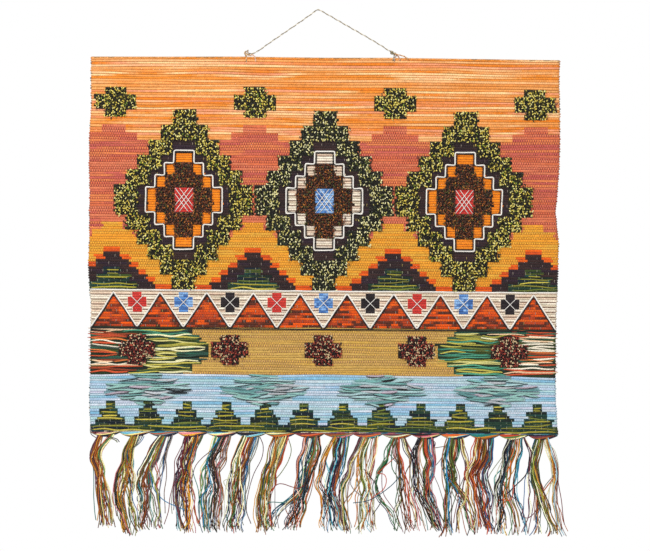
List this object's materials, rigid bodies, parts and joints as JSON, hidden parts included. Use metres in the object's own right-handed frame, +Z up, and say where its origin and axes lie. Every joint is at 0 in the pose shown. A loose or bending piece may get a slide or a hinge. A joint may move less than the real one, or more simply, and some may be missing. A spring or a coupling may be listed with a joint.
{
  "type": "woven jute wall tapestry",
  "caption": "Flat handwoven wall tapestry with raised loop-pile motifs, gathered tassels along its bottom edge and a hanging twine.",
  "frame": {"origin": "on the wall plane, at the nail that the twine hangs over, just under the twine's bend", "axes": "+X to the right as seen from the front, -Y out of the wall towards the viewer, +Z up"},
  "size_m": [1.007, 0.0145, 1.1284],
  "materials": {
    "woven_cloth": "matte hand-spun weft, flat woven with raised loop pile, many dyed colours",
    "tassel_yarn": "matte loose yarn strands in mixed dyed colours",
    "jute_twine": "matte undyed twisted jute twine"
  },
  "bodies": {
    "root": {"cloth": "woven_cloth", "tassel_01": "tassel_yarn", "tassel_02": "tassel_yarn", "tassel_03": "tassel_yarn", "tassel_04": "tassel_yarn", "tassel_05": "tassel_yarn", "tassel_06": "tassel_yarn", "tassel_07": "tassel_yarn", "tassel_08": "tassel_yarn", "tassel_09": "tassel_yarn", "tassel_10": "tassel_yarn", "tassel_11": "tassel_yarn", "tassel_12": "tassel_yarn", "tassel_13": "tassel_yarn", "tassel_14": "tassel_yarn", "tassel_15": "tassel_yarn", "tassel_16": "tassel_yarn", "hanging_cord": "jute_twine", "knot_left": "jute_twine", "knot_right": "jute_twine"}
  },
  "joints": []
}
